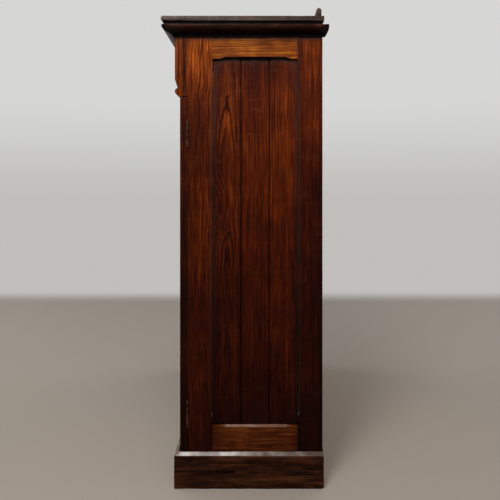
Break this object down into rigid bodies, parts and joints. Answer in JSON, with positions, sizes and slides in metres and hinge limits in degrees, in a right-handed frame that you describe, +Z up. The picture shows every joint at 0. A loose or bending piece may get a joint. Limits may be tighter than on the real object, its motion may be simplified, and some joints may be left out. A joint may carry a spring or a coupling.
{
  "type": "two-door cupboard",
  "caption": "Free-standing framed cupboard with hinged matchboarded doors, shelves inside, a plinth, a cornice and a low gallery on top.",
  "frame": {"origin": "on the floor under the middle of the whole cupboard's box", "axes": "+Z up, the doors face -Y, +X to the right of someone who faces the doors"},
  "size_m": [1.01, 0.4025, 1.1635],
  "materials": {
    "stained_pine": "dark stained and polished pitch pine",
    "plain_pine": "bare aged pine",
    "aged_brass": "dull aged brass",
    "dark_iron": "dark oiled iron"
  },
  "bodies": {
    "carcase": {"right_front_stile": "stained_pine", "left_front_stile": "stained_pine", "right_rear_stile": "stained_pine", "left_rear_stile": "stained_pine", "right_top_rail": "stained_pine", "left_top_rail": "stained_pine", "right_bottom_rail": "stained_pine", "left_bottom_rail": "stained_pine", "right_side_boards": "stained_pine", "left_side_boards": "stained_pine", "bottom_board": "plain_pine", "back_boards": "plain_pine", "back_rail": "plain_pine", "front_top_rail": "plain_pine", "frieze_board": "stained_pine", "frieze_bead": "stained_pine", "frieze_blocks": "plain_pine", "cornice_front": "stained_pine", "cornice_right": "stained_pine", "cornice_left": "stained_pine", "top_board": "stained_pine", "back_gallery": "stained_pine", "plinth_front": "stained_pine", "plinth_right": "stained_pine", "plinth_left": "stained_pine", "plinth_back": "plain_pine", "plinth_bearers": "plain_pine", "plinth_blocks": "plain_pine", "top_shelf": "plain_pine", "middle_shelf": "plain_pine", "bottom_shelf": "plain_pine", "shelf_battens": "plain_pine", "carcase_hinge_leaves": "aged_brass", "hinge_pins": "aged_brass", "carcase_hinge_screws": "aged_brass", "bolt_catches": "aged_brass"},
    "left_door": {"left_door_hinge_stile": "stained_pine", "left_door_meeting_stile": "stained_pine", "left_door_top_rail": "stained_pine", "left_door_bottom_rail": "stained_pine", "left_door_boards": "stained_pine", "left_door_hinge_leaves": "aged_brass", "left_door_hinge_screws": "aged_brass", "top_bolt_plate": "aged_brass", "bottom_bolt_plate": "aged_brass", "lock_keeper": "dark_iron"},
    "right_door": {"right_door_hinge_stile": "stained_pine", "right_door_meeting_stile": "stained_pine", "right_door_top_rail": "stained_pine", "right_door_bottom_rail": "stained_pine", "right_door_boards": "stained_pine", "right_door_hinge_leaves": "aged_brass", "right_door_hinge_screws": "aged_brass", "lock_case": "dark_iron", "keyhole_plate": "aged_brass", "door_knob": "aged_brass"},
    "top_bolt": {"top_bolt": "aged_brass"},
    "bottom_bolt": {"bottom_bolt": "aged_brass"},
    "lock_bolt": {"lock_bolt": "aged_brass"},
    "key": {"key": "dark_iron"}
  },
  "joints": [
    {"name": "left_door_hinge", "type": "hinge", "parent": "carcase", "child": "left_door", "pos_m": [-0.4783, -0.14025, 0.5195], "axis": [0, 0, -1], "range_deg": [0, 180]},
    {"name": "right_door_hinge", "type": "hinge", "parent": "carcase", "child": "right_door", "pos_m": [0.4783, -0.14025, 0.5195], "axis": [0, 0, 1], "range_deg": [0, 180]},
    {"name": "top_bolt_slide", "type": "slide", "parent": "left_door", "child": "top_bolt", "axis": [0, 0, 1], "range_m": [0, 0.012]},
    {"name": "bottom_bolt_slide", "type": "slide", "parent": "left_door", "child": "bottom_bolt", "axis": [0, 0, -1], "range_m": [0, 0.012]},
    {"name": "key_turn", "type": "hinge", "parent": "right_door", "child": "key", "pos_m": [0.0285, -0.15875, 0.5195], "axis": [0, 1, 0], "range_deg": [0, 360]},
    {"name": "lock_bolt_slide", "type": "slide", "parent": "right_door", "child": "lock_bolt", "axis": [-1, 0, 0], "range_m": [0, 0.008]}
  ],
  "couplings": [
    {"joint": "lock_bolt_slide", "follows": "key_turn", "m_per_rad": 0.0012732}
  ]
}
